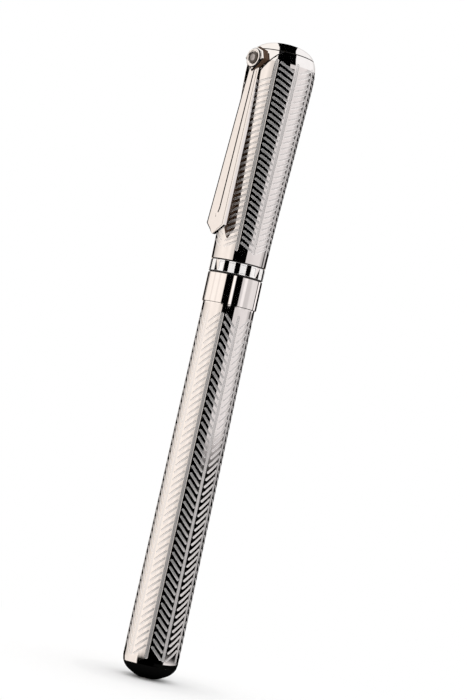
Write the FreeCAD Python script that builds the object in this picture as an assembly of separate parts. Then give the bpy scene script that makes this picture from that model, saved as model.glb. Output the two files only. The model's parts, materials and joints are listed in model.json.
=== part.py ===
"""Capped rollerball pen, closed and upright: tail at z = 0, cap at the top, clip towards -Y.

All lengths are millimetres. Every separate piece is one STEP file in parts/.
"""

import FreeCAD, Part
import math
import os

V = FreeCAD.Vector
ORIGIN = V(0, 0, 0)
UP = V(0, 0, 1)

# ---- driving dimensions: levels along the axis -------------------------------------------------
TAIL_TIP = 0.5  # levels count from this far under the tip, and the finished pen stands on z = 0
CROWN_TOP = 138.0
TAIL_SEAM = 3.5  # tail dome meets the barrel shell
TAIL_LAND = 15.5  # top of the straight cylinder at the tail
FERRULE_LOW = 80.96  # plain band at the open end of the barrel
CLOSING = 87.3  # face where the cap closes on the barrel
LIP = 90.3  # top of the framed ring on the cap's mouth
CROWN_SEAM = 135.4
HAIRLINE = 0.05  # gap left between faces of pieces that part

# ---- driving dimensions: outside radii ----------------------------------------------------------
TAIL_R = 5.93
TAIL_CURVE = [(2.00, TAIL_TIP), (2.85, 0.96), (4.45, 1.86), (5.30, 2.71), (5.74, TAIL_SEAM)]
TAIL_ROUND = [(5.74, TAIL_SEAM), (5.87, 4.1), (TAIL_R, 4.9)]
BARREL_TOP_R = 5.63
BAND_R = 5.90
CAP_CURVE = [(5.90, LIP), (6.04, 96.5), (6.33, 104.0), (6.74, 113.5), (7.15, 124.0),
             (7.38, 131.0), (7.14, 133.8), (6.60, CROWN_SEAM)]
CROWN_CURVE = [(6.60, CROWN_SEAM), (5.75, 136.55), (4.20, 137.45), (2.10, 137.92), (0.0, CROWN_TOP)]

# ---- driving dimensions: bores and fits -----------------------------------------------------------
BARREL_BORE_R = 4.93
LINER_BORE_R = 4.35
LINER_LOW = 12.0
CAP_BORE_R = 5.20
REFILL_R = 3.00
REFILL_WAY_R = 3.15  # bore that the refill floats in
THREAD_R = 4.20  # crest of the male thread
THREAD_ROOT_R = 3.90
THREAD_PITCH = 1.0
THREAD_LOW = 80.0
THREAD_TURNS = 6
BUSH_LOW = 73.0
BUSH_BORE_R = 4.27

# ---- driving dimensions: section and refill -------------------------------------------------------
COLLAR_R = 4.95
COLLAR_TOP = 97.0
GRIP_LOW = 98.2
GRIP_TOP = 118.2
NOSE_TOP = 124.4
CORE_R = 3.90
CORE_LOW = 91.0
CORE_SOCKET_R = 3.60
NOSE_BORE_R = 1.30
REFILL_TAIL = 15.5
PLUG_RIM = 17.0  # the end plug's rim meets the tube
PLUG_TOP = 21.0
RESERVOIR_LOW = 22.0
FEED_LOW = 108.0
POINT_LOW = 118.0
REFILL_TUBE_TOP = 112.0
REFILL_WALL = 0.45
POINT_R = 1.15
BALL_R = 0.35
BALL_Z = 125.75
BALL_GAP = 0.02
SPRING_SEAT_LOW = 8.5
SPRING_LOW = 9.5

# ---- driving dimensions: clip ------------------------------------------------------------------------
PIVOT_Y = -5.6
PIVOT_Z = 131.8
PIVOT_R = 0.45
PIVOT_FIT = 0.04
LUG_HALF = 1.0
CHEEK_OUT = 1.85
STONE_Z = 133.0
STONE_R = 1.475
BEZEL_R = 1.95
HEAD_CORNERS = [(2.35, 133.0), (1.75, 134.35), (0, 135.0), (-1.75, 134.35), (-2.35, 133.0),
                (0, 130.6)]
HEAD_FLARE = 1.38  # the head's foot on the shield is this much larger than its shoulder
HEAD_FOOT_Y = -6.6
HEAD_SHOULDER_Y = -8.1
HEAD_FACE_Y = -8.45
ARM_BACK_Y = -7.56
ARM_TOP_Z = 131.4
ARM_TIP_Z = 94.8
ARM_SHOULDER_Z = 97.0
ARM_TOP_HALF = 1.65
ARM_LOW_HALF = 2.75
ARM_THICK = 0.85
SHIELD_DEPTH = 0.5
SHIELD_APEX_Z = 127.7
SHIELD_HALF = 5.05
CARRIER_TOP = 133.6
CARRIER_PLATE = 0.6
CARRIER_FLOOR = 129.4

RING_PLATES = 15  # framed plates round the cap's mouth
RING_SLOT_WIDE = 1.1
RING_SLOT_DEEP = 0.4


def turned(outline):
    """Solid of revolution about Z of an (r, z) outline. A list inside it is a smooth curve."""
    edges, last = [], None
    runs = [item if isinstance(item, list) else [item] for item in outline]
    for run in runs + [runs[0][:1]]:
        points = [V(r, 0, z) for r, z in run]
        if last is not None and last.distanceToPoint(points[0]) > 1e-7:
            edges.append(Part.LineSegment(last, points[0]).toShape())
        if len(points) > 1:
            curve = Part.BSplineCurve()
            curve.interpolate(points)
            edges.append(curve.toShape())
        last = points[-1]
    return Part.Face(Part.Wire(edges)).revolve(ORIGIN, UP, 360)


def rod(radius, low, high):
    return Part.makeCylinder(radius, high - low, V(0, 0, low))


def tube(inner, outer, low, high):
    return rod(outer, low, high).cut(rod(inner, low, high))


def block(x, y, z):
    """Box from three (low, high) pairs."""
    size = [high - low for low, high in (x, y, z)]
    return Part.makeBox(*size, V(x[0], y[0], z[0]))


def cross_rod(radius, half_length, y, z):
    """Cylinder lying along X, centred on x = 0."""
    return Part.makeCylinder(radius, 2 * half_length, V(-half_length, y, z), V(1, 0, 0))


def facing_rod(radius, z, back, face):
    """Cylinder lying along Y from y = back out to y = face."""
    return Part.makeCylinder(radius, back - face, V(0, back, z), V(0, -1, 0))


def prism_across(points, half_width):
    """(y, z) polygon made into a prism that is centred on x = 0."""
    wire = Part.makePolygon([V(-half_width, y, z) for y, z in points + points[:1]])
    return Part.Face(wire).extrude(V(2 * half_width, 0, 0))


def prism_facing(points, back, face):
    """(x, z) polygon made into a prism from y = back out to y = face."""
    wire = Part.makePolygon([V(x, back, z) for x, z in points + points[:1]])
    return Part.Face(wire).extrude(V(0, face - back, 0))


def coil(mean_radius, wire_radius, turns, low, high, y=0.0):
    """Compression spring standing on z = low, ground so that it ends at z = high."""
    rise = high - low - 2 * wire_radius
    helix = Part.makeHelix(rise / turns, rise, mean_radius)
    profile = Part.makeCircle(wire_radius, V(mean_radius, 0, 0), V(0, 1, 0))
    spring = Part.Wire(helix).makePipeShell([Part.Wire(profile)], True, True)
    spring.translate(V(0, y, low + wire_radius))
    return spring


def linear(a, b, z):
    """Value at z on the line through two (value, z) pairs."""
    return a[0] + (b[0] - a[0]) * (z - a[1]) / (b[1] - a[1])


# ---- barrel ---------------------------------------------------------------------------------------
def barrel_shell():
    wall = [(TAIL_R, TAIL_LAND), (5.83, 32.0), (5.75, 53.0), (BARREL_TOP_R, FERRULE_LOW)]
    return turned([(BARREL_BORE_R, TAIL_SEAM), TAIL_ROUND, wall, (BARREL_BORE_R, FERRULE_LOW)])


def tail_cap():
    """Domed end with a tiny flat at its tip and a plug that carries the spring seat."""
    cup = 3.5
    return turned([(0, TAIL_TIP), TAIL_CURVE, (BARREL_BORE_R, TAIL_SEAM),
                   (BARREL_BORE_R, LINER_LOW), (cup, LINER_LOW), (cup, SPRING_SEAT_LOW),
                   (0, SPRING_SEAT_LOW)])


def spring_seat():
    rim, pilot, height = 3.5, 1.4, 1.2
    return turned([(0, SPRING_SEAT_LOW), (rim, SPRING_SEAT_LOW), (rim, SPRING_LOW),
                   (pilot, SPRING_LOW), (pilot, SPRING_LOW + height), (0, SPRING_LOW + height)])


def barrel_liner():
    return tube(LINER_BORE_R, BARREL_BORE_R, LINER_LOW, BUSH_LOW)


def thread_bush():
    return tube(BUSH_BORE_R, BARREL_BORE_R, BUSH_LOW, CLOSING)


def barrel_ferrule():
    edge = 0.12
    return turned([(BARREL_BORE_R, FERRULE_LOW), (BAND_R - edge, FERRULE_LOW),
                   (BAND_R, FERRULE_LOW + edge), (BAND_R, CLOSING - edge),
                   (BAND_R - edge, CLOSING), (BARREL_BORE_R, CLOSING)])


# ---- section ---------------------------------------------------------------------------------------
def male_thread():
    """Triangular ridge wound up the coupling's tail, with its root sunk into the core."""
    sunk, crest = 0.05, 0.08
    half = 0.36 * THREAD_PITCH
    rise = THREAD_TURNS * THREAD_PITCH
    helix = Part.makeHelix(THREAD_PITCH, rise, THREAD_ROOT_R)
    outline = [V(THREAD_ROOT_R - sunk, 0, -half), V(THREAD_R, 0, -crest),
               V(THREAD_R, 0, crest), V(THREAD_ROOT_R - sunk, 0, half)]
    profile = Part.makePolygon(outline + outline[:1])
    ridge = Part.Wire(helix).makePipeShell([profile], True, True)
    ridge.translate(V(0, 0, THREAD_LOW + 0.5 * THREAD_PITCH))
    return ridge


def section_coupling():
    """Brass collar: thread below the closing face, cap seat with a seal groove above it."""
    groove_r, groove = 4.45, (89.4, 90.5)
    bead_r, bead, bead_slope = 5.0, (91.7, 92.7), 0.3
    tail, lead = 78.5, 0.5
    foot = CLOSING + HAIRLINE
    body = turned([(REFILL_WAY_R, tail), (CORE_SOCKET_R, tail), (THREAD_ROOT_R, tail + lead),
                   (THREAD_ROOT_R, foot), (COLLAR_R, foot), (COLLAR_R, groove[0]),
                   (groove_r, groove[0]), (groove_r, groove[1]), (COLLAR_R, groove[1]),
                   (COLLAR_R, bead[0]), (bead_r, bead[0] + bead_slope),
                   (bead_r, bead[1] - bead_slope), (COLLAR_R, bead[1]), (COLLAR_R, COLLAR_TOP),
                   (CORE_SOCKET_R, COLLAR_TOP), (CORE_SOCKET_R, CORE_LOW),
                   (REFILL_WAY_R, CORE_LOW)])
    return body.fuse(male_thread())


def cap_seal():
    return Part.makeTorus(4.85, 0.3, V(0, 0, 89.95)).cut(rod(4.45, 89.0, 91.0))


def section_core():
    """Plastic tube that carries the grip and guides the refill."""
    spigot_r, spigot_low = 3.5, 114.8
    return turned([(REFILL_WAY_R, CORE_LOW), (CORE_SOCKET_R, CORE_LOW),
                   (CORE_SOCKET_R, COLLAR_TOP), (CORE_R, COLLAR_TOP), (CORE_R, GRIP_TOP),
                   (spigot_r, GRIP_TOP), (spigot_r, spigot_low), (REFILL_WAY_R, spigot_low)])


def grip_trim_ring():
    return turned([(CORE_R, COLLAR_TOP), (COLLAR_R, COLLAR_TOP), [(COLLAR_R, 97.35), (5.0, 97.6),
                   (4.88, 97.95), (4.75, GRIP_LOW)], (CORE_R, GRIP_LOW)])


def grip_sleeve():
    waist = [(4.70, GRIP_LOW), (4.50, 103.5), (4.30, 110.0), (4.33, 115.0), (4.45, GRIP_TOP)]
    return turned([(CORE_R, GRIP_LOW), waist, (CORE_R, GRIP_TOP)])


def nose_cone():
    seat_low, seat_top, spigot_r, spigot_low = 119.5, 122.5, 3.5, 115.0
    outside = [(4.40, GRIP_TOP), (4.05, 119.8), (2.95, 122.3), (1.75, NOSE_TOP)]
    return turned([(REFILL_WAY_R, spigot_low), (spigot_r, spigot_low), (spigot_r, GRIP_TOP), outside,
                   (NOSE_BORE_R, NOSE_TOP), (NOSE_BORE_R, seat_top), (REFILL_WAY_R, seat_low)])


# ---- refill ----------------------------------------------------------------------------------------
def refill_tube():
    return tube(REFILL_R - REFILL_WALL, REFILL_R, PLUG_RIM, REFILL_TUBE_TOP)


def refill_end_plug():
    edge, inner = 0.3, REFILL_R - REFILL_WALL
    return turned([(0, REFILL_TAIL), (REFILL_R - edge, REFILL_TAIL), (REFILL_R, REFILL_TAIL + edge),
                   (REFILL_R, PLUG_RIM), (inner, PLUG_RIM), (inner, PLUG_TOP), (0, PLUG_TOP)])


def refill_reservoir():
    return rod(REFILL_R - REFILL_WALL, RESERVOIR_LOW, FEED_LOW)


def refill_feed():
    """Black plastic front of the refill with the ink channel down its middle."""
    inner, channel, neck, top = REFILL_R - REFILL_WALL, 0.4, 2.6, 121.0
    return turned([(channel, FEED_LOW), (inner, FEED_LOW), (inner, REFILL_TUBE_TOP),
                   (REFILL_R, REFILL_TUBE_TOP), (REFILL_R, 116.8), (neck, 117.4), (neck, 119.4),
                   (2.05, top), (POINT_R, top), (POINT_R, POINT_LOW), (channel, POINT_LOW)])


def refill_point():
    """Drawn steel tube that ends in the ball's socket."""
    bore, rim = 0.3, BALL_Z + 0.14
    body = turned([(bore, POINT_LOW), (POINT_R, POINT_LOW), (POINT_R, 123.2), (0.62, 124.9),
                   (0.36, rim), (bore, rim)])
    return body.cut(Part.makeSphere(BALL_R + BALL_GAP, V(0, 0, BALL_Z)))


def refill_ball():
    return Part.makeSphere(BALL_R, V(0, 0, BALL_Z))


def refill_spring():
    return coil(2.0, 0.28, 4, SPRING_LOW, REFILL_TAIL)


# ---- cap -------------------------------------------------------------------------------------------
def shield_prism():
    """Downward-pointing triangle in front of the cap that outlines the clip's shield."""
    triangle = [(-SHIELD_HALF, CROWN_SEAM), (SHIELD_HALF, CROWN_SEAM), (0, SHIELD_APEX_Z)]
    return prism_facing(triangle, -2.0, -9.0)


def lug_slot():
    """Opening in the front wall that the clip's lug passes through and swings in."""
    return block((-1.3, 1.3), (-9.0, -4.0), (130.2, 133.3))


def cap_skin(depth):
    """The outer skin of the cap round the shield, this deep."""
    inner = [(r - depth, z) for r, z in CAP_CURVE]
    return turned([CAP_CURVE, inner[::-1]]).common(rod(9.0, SHIELD_APEX_Z - 1, CROWN_SEAM))


def cap_shell():
    web, flare_low, flare_r = CARRIER_TOP, 104.0, 6.30
    groove = tube(CAP_BORE_R - 0.1, 5.55, 93.0, 94.3)
    body = turned([(CAP_BORE_R, LIP), CAP_CURVE, (2.3, CROWN_SEAM), (2.3, web), (flare_r, web),
                   (flare_r, 128.0), (CAP_BORE_R, flare_low)])
    shield = cap_skin(SHIELD_DEPTH).common(shield_prism())
    return body.cut(shield).cut(lug_slot()).cut(groove)


def clip_shield():
    return cap_skin(SHIELD_DEPTH).common(shield_prism()).cut(lug_slot())


def cap_crown():
    spigot, thread = 2.3, 0.9
    return turned([(thread, CARRIER_TOP), (spigot, CARRIER_TOP), (spigot, CROWN_SEAM), CROWN_CURVE,
                   (0, 136.8), (thread, 136.8)])


def crown_screw():
    head, shank = 1.6, 0.9
    body = turned([(0, 131.2), (head - 0.2, 131.2), (head, 131.4), (head, 132.6), (shank, 132.6),
                   (shank, 136.5), (0, 136.5)])
    return body.cut(block((-head, head), (-0.2, 0.2), (131.0, 131.7)))


def crown_washer():
    return tube(0.9, 2.2, 132.6, CARRIER_TOP - CARRIER_PLATE)


def cap_trim_ring():
    """Lip of the cap: a groove at each edge, and upright slots that part the plates."""
    low, groove_deep, groove = CLOSING + HAIRLINE, 0.25, 0.22
    inner_r = BAND_R - groove_deep
    ring = turned([(CAP_BORE_R, low), (inner_r, low), (inner_r, low + groove),
                   (BAND_R, low + groove), (BAND_R, LIP - groove), (inner_r, LIP - groove),
                   (inner_r, LIP), (CAP_BORE_R, LIP)])
    half = RING_SLOT_WIDE / 2
    cutter = block((BAND_R - RING_SLOT_DEEP, BAND_R + 1), (-half, half),
                   (low + groove, LIP - groove))
    for index in range(RING_PLATES):
        slot = cutter.copy()
        slot.rotate(ORIGIN, UP, index * 360 / RING_PLATES - 90)
        ring = ring.cut(slot)
    return ring


def inner_cap():
    """Plastic cup pressed into the cap, which closes over the point."""
    mouth, floor, top, bore = 99.5, 127.4, 128.3, 4.75
    return turned([(bore + 0.15, mouth), (CAP_BORE_R, mouth), (CAP_BORE_R, top - 0.6),
                   (CAP_BORE_R - 0.6, top), (0, top), (0, floor), (bore - 0.5, floor),
                   (bore, floor - 0.5), (bore, mouth + 0.5)])


def catch_spring():
    """Split ring in the cap's groove that clicks over the section's bead."""
    return tube(5.06, 5.5, 93.1, 94.2).cut(block((-0.8, 0.8), (0, 7), (92, 95)))


def clip_carrier():
    """Bracket under the crown: a plate, two cheeks for the pivot and a floor for the spring."""
    plate_low = CARRIER_TOP - CARRIER_PLATE
    gap = LUG_HALF + 0.08
    back, front = -3.4, -6.0
    plate = tube(0.9, 5.6, plate_low, CARRIER_TOP)
    cheeks = block((-CHEEK_OUT, CHEEK_OUT), (front, back), (CARRIER_FLOOR - 0.5, plate_low))
    inside = block((-gap, gap), (front, back - 0.5), (CARRIER_FLOOR, plate_low))
    hole = cross_rod(PIVOT_R, CHEEK_OUT, PIVOT_Y, PIVOT_Z)
    return plate.fuse(cheeks.cut(inside)).cut(hole)


def clip_pivot_pin():
    return cross_rod(PIVOT_R, CHEEK_OUT, PIVOT_Y, PIVOT_Z)


def clip_return_spring():
    return coil(0.34, 0.09, 3, CARRIER_FLOOR, 130.7, -4.62)


def facing_polygon(points, y, grown=1.0):
    """Closed (x, z) polygon at a level of y, grown about the stone's centre."""
    ring = [V(x * grown, y, STONE_Z + (z - STONE_Z) * grown) for x, z in points]
    return Part.makePolygon(ring + ring[:1])


def clip_head():
    """Faceted boss for the stone, hollowed at the back so that it swings clear of the cap."""
    boss = Part.makeLoft([facing_polygon(HEAD_CORNERS, HEAD_FOOT_Y, HEAD_FLARE),
                          facing_polygon(HEAD_CORNERS, HEAD_SHOULDER_Y)], True, True)
    collar = facing_rod(BEZEL_R, STONE_Z, HEAD_SHOULDER_Y + 0.1, HEAD_FACE_Y)
    gap, spread, low, past_head = 0.2, 0.10, 131.0, 136.2
    clear = [(r + gap + spread * (z - low), z) for r, z in CAP_CURVE[4:]]
    room = turned([(0, clear[0][1]), clear, (clear[-1][0], past_head), (0, past_head)])
    return boss.fuse(collar).cut(room)


def clip_arm():
    """Head, straight arm with a raised rib, contact foot and the pivot lug, in one piece."""
    top, low = (8.10, 125.3), (9.05, 97.7)
    face_top, face_tip = linear(top, low, ARM_TOP_Z), linear(top, low, ARM_TIP_Z)
    under_tip = face_tip - ARM_THICK
    side = [(-face_top, ARM_TOP_Z), (-face_tip, ARM_TIP_Z), (-under_tip, ARM_TIP_Z),
            (ARM_BACK_Y, 123.0), (ARM_BACK_Y, ARM_TOP_Z)]
    tip_half = 0.15
    front = [(-ARM_TOP_HALF, ARM_TOP_Z), (ARM_TOP_HALF, ARM_TOP_Z),
             (ARM_LOW_HALF, ARM_SHOULDER_Z), (tip_half, ARM_TIP_Z), (-tip_half, ARM_TIP_Z),
             (-ARM_LOW_HALF, ARM_SHOULDER_Z)]
    arm = prism_across(side, ARM_LOW_HALF + 1).common(prism_facing(front, 0, -12))
    raised, rib_half, rib_low = 0.18, 0.5, 98.4
    rib_front = [(-0.2, ARM_TOP_Z), (0.2, ARM_TOP_Z), (rib_half, 101.0), (0, rib_low),
                 (-rib_half, 101.0)]
    rib_side = [(y - raised, z) for y, z in side[:2]] + [(-under_tip - 0.2, ARM_TIP_Z),
                                                        (ARM_BACK_Y - 0.2, ARM_TOP_Z)]
    rib = prism_across(rib_side, rib_half + 1).common(prism_facing(rib_front, 0, -12))
    foot = prism_across([(-8.1, 102.6), (-8.35, 97.4), (-7.2, 97.3), (-6.28, 98.6),
                         (-6.34, 99.6)], 1.2)
    lug = block((-LUG_HALF, LUG_HALF), (ARM_BACK_Y - 0.3, -4.3), (130.7, 132.7))
    bore = cross_rod(PIVOT_R + PIVOT_FIT, LUG_HALF + 1, PIVOT_Y, PIVOT_Z)
    socket = facing_rod(STONE_R, STONE_Z, HEAD_FACE_Y + 0.3, HEAD_FACE_Y - 1)
    return arm.fuse([rib, foot, clip_head(), lug]).cut(bore).cut(socket).removeSplitter()


def clip_bezel():
    tall = 0.16
    collar = facing_rod(BEZEL_R, STONE_Z, HEAD_FACE_Y, HEAD_FACE_Y - tall)
    hole = facing_rod(STONE_R, STONE_Z, HEAD_FACE_Y, HEAD_FACE_Y - tall)
    return collar.cut(hole)


def clip_stone():
    """Low domed stone set in the head."""
    crown, dome = 0.20, 5.55
    body = facing_rod(STONE_R, STONE_Z, HEAD_FACE_Y + 0.3, HEAD_FACE_Y - crown)
    ball = Part.makeSphere(dome, V(0, HEAD_FACE_Y - crown + dome, STONE_Z))
    return body.common(ball)


PIECES = [
    tail_cap, barrel_shell, barrel_liner, thread_bush, barrel_ferrule, spring_seat,
    section_coupling, cap_seal, section_core, grip_trim_ring, grip_sleeve, nose_cone,
    refill_tube, refill_end_plug, refill_reservoir, refill_feed, refill_point, refill_ball,
    refill_spring, cap_shell, cap_crown, crown_screw, crown_washer, cap_trim_ring, inner_cap,
    catch_spring, clip_carrier, clip_shield, clip_pivot_pin, clip_return_spring, clip_arm,
    clip_bezel, clip_stone,
]

os.makedirs("parts", exist_ok=True)
for piece in PIECES:
    shape = piece()
    if not shape.isValid() or len(shape.Solids) != 1:
        raise ValueError(f"{piece.__name__}: {len(shape.Solids)} solids, valid {shape.isValid()}")
    solid = shape.Solids[0]
    solid.translate(V(0, 0, -TAIL_TIP))
    solid.exportStep(f"parts/{piece.__name__}.step")
    print(f"{piece.__name__:20s} {shape.Volume:9.2f} mm3")
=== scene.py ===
"""Looks of the capped rollerball pen: engraved shells, plated fittings, studio and camera.

Lengths are millimetres until a mesh is made; meshes are in metres, in the frame of the CAD.
Angles round the pen are degrees from +X, counter-clockwise seen from the cap's end.
"""

import json
import math

import bmesh
import bpy
from mathutils import Matrix, Quaternion, Vector
from mathutils.geometry import delaunay_2d_cdt

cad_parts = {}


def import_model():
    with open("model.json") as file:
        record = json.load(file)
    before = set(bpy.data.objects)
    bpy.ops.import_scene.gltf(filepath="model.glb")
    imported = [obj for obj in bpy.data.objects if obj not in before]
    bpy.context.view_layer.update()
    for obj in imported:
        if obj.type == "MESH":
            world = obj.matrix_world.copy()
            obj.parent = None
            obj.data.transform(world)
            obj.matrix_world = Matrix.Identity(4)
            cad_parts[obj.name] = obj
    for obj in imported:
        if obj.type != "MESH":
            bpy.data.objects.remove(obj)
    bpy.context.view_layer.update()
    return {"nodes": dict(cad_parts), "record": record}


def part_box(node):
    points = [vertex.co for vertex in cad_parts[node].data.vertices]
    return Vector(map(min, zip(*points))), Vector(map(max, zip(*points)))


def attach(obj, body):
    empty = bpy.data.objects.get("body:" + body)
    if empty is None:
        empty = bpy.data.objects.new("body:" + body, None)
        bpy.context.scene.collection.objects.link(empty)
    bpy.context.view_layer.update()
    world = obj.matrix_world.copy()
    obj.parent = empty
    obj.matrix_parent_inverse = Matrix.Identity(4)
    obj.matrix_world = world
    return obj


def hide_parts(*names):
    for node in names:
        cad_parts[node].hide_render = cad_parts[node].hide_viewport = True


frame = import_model()

MM = 0.001
TAIL_TIP = 0.5  # levels count from this far under the tail's tip, which stands on the floor


def level(node, end):
    """Lowest (end 0) or highest (end 1) level of a CAD node, in millimetres."""
    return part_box(node)[end].z / MM + TAIL_TIP


def reach(node):
    """Outer radius of a round CAD node, in millimetres."""
    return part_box(node)[1].x / MM


# ---- levels and radii, read from the frame ---------------------------------------------------
TAIL_SEAM = level("barrel_shell", 0)
BARREL_TOP = level("barrel_shell", 1)
BAND = (level("barrel_ferrule", 0), level("barrel_ferrule", 1))
RING = (level("cap_trim_ring", 0), level("cap_trim_ring", 1))
CAP = (level("cap_shell", 0), level("cap_shell", 1))
CROWN_TOP = level("cap_crown", 1)
GRIP = (level("grip_sleeve", 0), level("grip_sleeve", 1))
NOSE_TOP = level("nose_cone", 1)
BAND_R = reach("barrel_ferrule")
BARREL_BORE_R = 4.93
STONE_LOW, STONE_HIGH = (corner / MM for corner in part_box("clip_stone"))
STONE_Z = (STONE_LOW.z + STONE_HIGH.z) / 2 + TAIL_TIP
CLIP_TIP = level("clip_arm", 0)

# ---- outlines that the CAD's outside also has -------------------------------------------------
CAP_CURVE = [(5.90, 90.3), (6.04, 96.5), (6.33, 104.0), (6.74, 113.5), (7.15, 124.0),
             (7.38, 131.0), (7.14, 133.8), (6.60, 135.4)]
CROWN_CURVE = [(6.60, 135.4), (5.75, 136.55), (4.20, 137.45), (2.10, 137.92), (0.0, 138.0)]
BARREL_CURVE = [(5.74, 3.5), (5.87, 4.1), (5.93, 4.9), (5.93, 15.5), (5.83, 32.0),
                (5.75, 53.0), (5.62, 78.8), (5.65, 80.96)]
DOME_CURVE = [(1.30, 0.50), (2.10, 0.68), (2.85, 0.96), (4.45, 1.86), (5.30, 2.71), (5.74, 3.5)]
GRIP_CURVE = [(4.70, 98.2), (4.50, 103.5), (4.30, 110.0), (4.33, 115.0), (4.45, 118.2)]
NOSE_CURVE = [(4.40, 118.2), (4.05, 119.8), (2.95, 122.3), (1.75, 124.4)]

# ---- engraving --------------------------------------------------------------------------------
CLIP_ANGLE = -90.0
PATTERN_ANGLE = -88.0
SPINES = 10
SPINE_HALF = 0.34
SPINE_GAP = 0.24
RECESS = 0.025
RIM = 0.08
BARREL_MARKS = {"low": 5.05, "high": 79.2, "pitch": 1.545, "half": 0.27, "slope": 45.0}
CAP_MARKS = {"low": 92.3, "high": 133.6, "pitch": 1.25, "half": 0.27, "slope": 26.0}
RING_PLATES = 15
SHIELD_APEX = 127.7
SHIELD_HALF = 5.05

# ---- camera and studio ------------------------------------------------------------------------
CAMERA_AZIMUTH = 48.0
CAMERA_DISTANCE = 450.0
CAMERA_LEVEL = 56.0
AIM_LEVEL = 71.6
AIM_SIDE = 2.97
CAMERA_ROLL = 12.5
LENS = 109.05


# ==== smooth curves ==============================================================================
def smooth(points, steps=8):
    """Points along a smooth curve through the given (r, z) points."""
    ends = [points[0], *points, points[-1]]
    fine = []
    for before, start, end, after in zip(ends, ends[1:], ends[2:], ends[3:]):
        for step in range(steps):
            t = step / steps
            fine.append(tuple(
                0.5 * (2 * b + (c - a) * t + (2 * a - 5 * b + 4 * c - d) * t * t
                       + (3 * b - a - 3 * c + d) * t ** 3)
                for a, b, c, d in zip(before, start, end, after)))
    return fine + [points[-1]]


def radius_along(points):
    """Radius as a smooth function of the level, from (r, z) points in rising order."""
    fine = smooth(points, 24)

    def radius(z):
        z = min(max(z, fine[0][1]), fine[-1][1])
        for (r0, z0), (r1, z1) in zip(fine, fine[1:]):
            if z <= z1:
                return r0 + (r1 - r0) * (z - z0) / (z1 - z0) if z1 > z0 else r1
        return fine[-1][0]

    return radius


def outward(angle, slope):
    """Unit normal of a surface of revolution; slope is the change of radius with level."""
    a = math.radians(angle)
    return Vector((math.cos(a), math.sin(a), -slope)).normalized()


def on_round(angle, radius, z):
    a = math.radians(angle)
    return Vector((radius * math.cos(a), radius * math.sin(a), z)) * MM


# ==== making pieces ==============================================================================
def add_piece(name, mesh, body, nodes, materials):
    """Stands a piece on the floor, gives it its body and materials, and hides the CAD nodes that
    it replaces.
    """
    mesh.transform(Matrix.Translation((0, 0, -TAIL_TIP * MM)))
    piece = bpy.data.objects.new(name, mesh)
    bpy.context.scene.collection.objects.link(piece)
    for material in materials:
        mesh.materials.append(material)
    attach(piece, body)
    if nodes:
        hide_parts(*nodes)
    return piece


def smooth_with_corners(mesh, angle=32.0):
    """Smooth shading, with sharp edges where faces meet at more than the angle in degrees."""
    mesh.shade_smooth()
    mesh.set_sharp_from_angle(angle=math.radians(angle))


def lathe(name, outline, body, nodes, material, segments=144, axis=None):
    """Piece turned from a closed (r, z) outline. With axis, z runs along it from its start."""
    bm = bmesh.new()
    rings = []
    for r, z in outline:
        if r < 1e-6:
            rings.append([bm.verts.new((0, 0, z * MM))])
        else:
            rings.append([bm.verts.new(on_round(360 * i / segments, r, z))
                          for i in range(segments)])
    for one, two in zip(rings, rings[1:] + rings[:1]):
        if len(one) == 1 and len(two) == 1:
            continue
        for i in range(segments):
            j = (i + 1) % segments
            loop = [one[i % len(one)], one[j % len(one)], two[j % len(two)], two[i % len(two)]]
            bm.faces.new(list(dict.fromkeys(loop)))
    bmesh.ops.recalc_face_normals(bm, faces=bm.faces)
    if axis:
        start, direction = axis
        turn = Vector(direction).to_track_quat("Z", "Y").to_matrix().to_4x4()
        bm.transform(Matrix.Translation(Vector(start) * MM) @ turn)
    mesh = bpy.data.meshes.new(name)
    bm.to_mesh(mesh)
    bm.free()
    smooth_with_corners(mesh)
    return add_piece(name, mesh, body, nodes, [material])


# ==== engraving ==================================================================================
def stadium(start, end, half, step=0.36):
    """Outline of a round-ended stroke between two points of the unrolled surface."""
    along = (end - start).normalized()
    across = Vector((-along.y, along.x))
    count = max(1, round((end - start).length / step))
    cap = [math.radians(-90 + 180 * k / 5) for k in range(1, 5)]
    side = [start.lerp(end, k / count) for k in range(count + 1)]
    points = [p - across * half for p in side]
    points += [end + (along * math.cos(a) + across * math.sin(a)) * half for a in cap]
    points += [p + across * half for p in reversed(side)]
    points += [start - (along * math.cos(a) + across * math.sin(a)) * half for a in cap]
    return points


def rectangle(centre, half_width, half_height, cut):
    """Outline of a rectangle with cut corners on the unrolled surface."""
    points = []
    for sx, sz in ((1, -1), (1, 1), (-1, 1), (-1, -1)):
        a = Vector((centre[0] + sx * half_width, centre[1] + sz * (half_height - cut)))
        b = Vector((centre[0] + sx * (half_width - cut), centre[1] + sz * half_height))
        points += [a, b] if sx * sz > 0 else [b, a]
    return points


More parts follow.
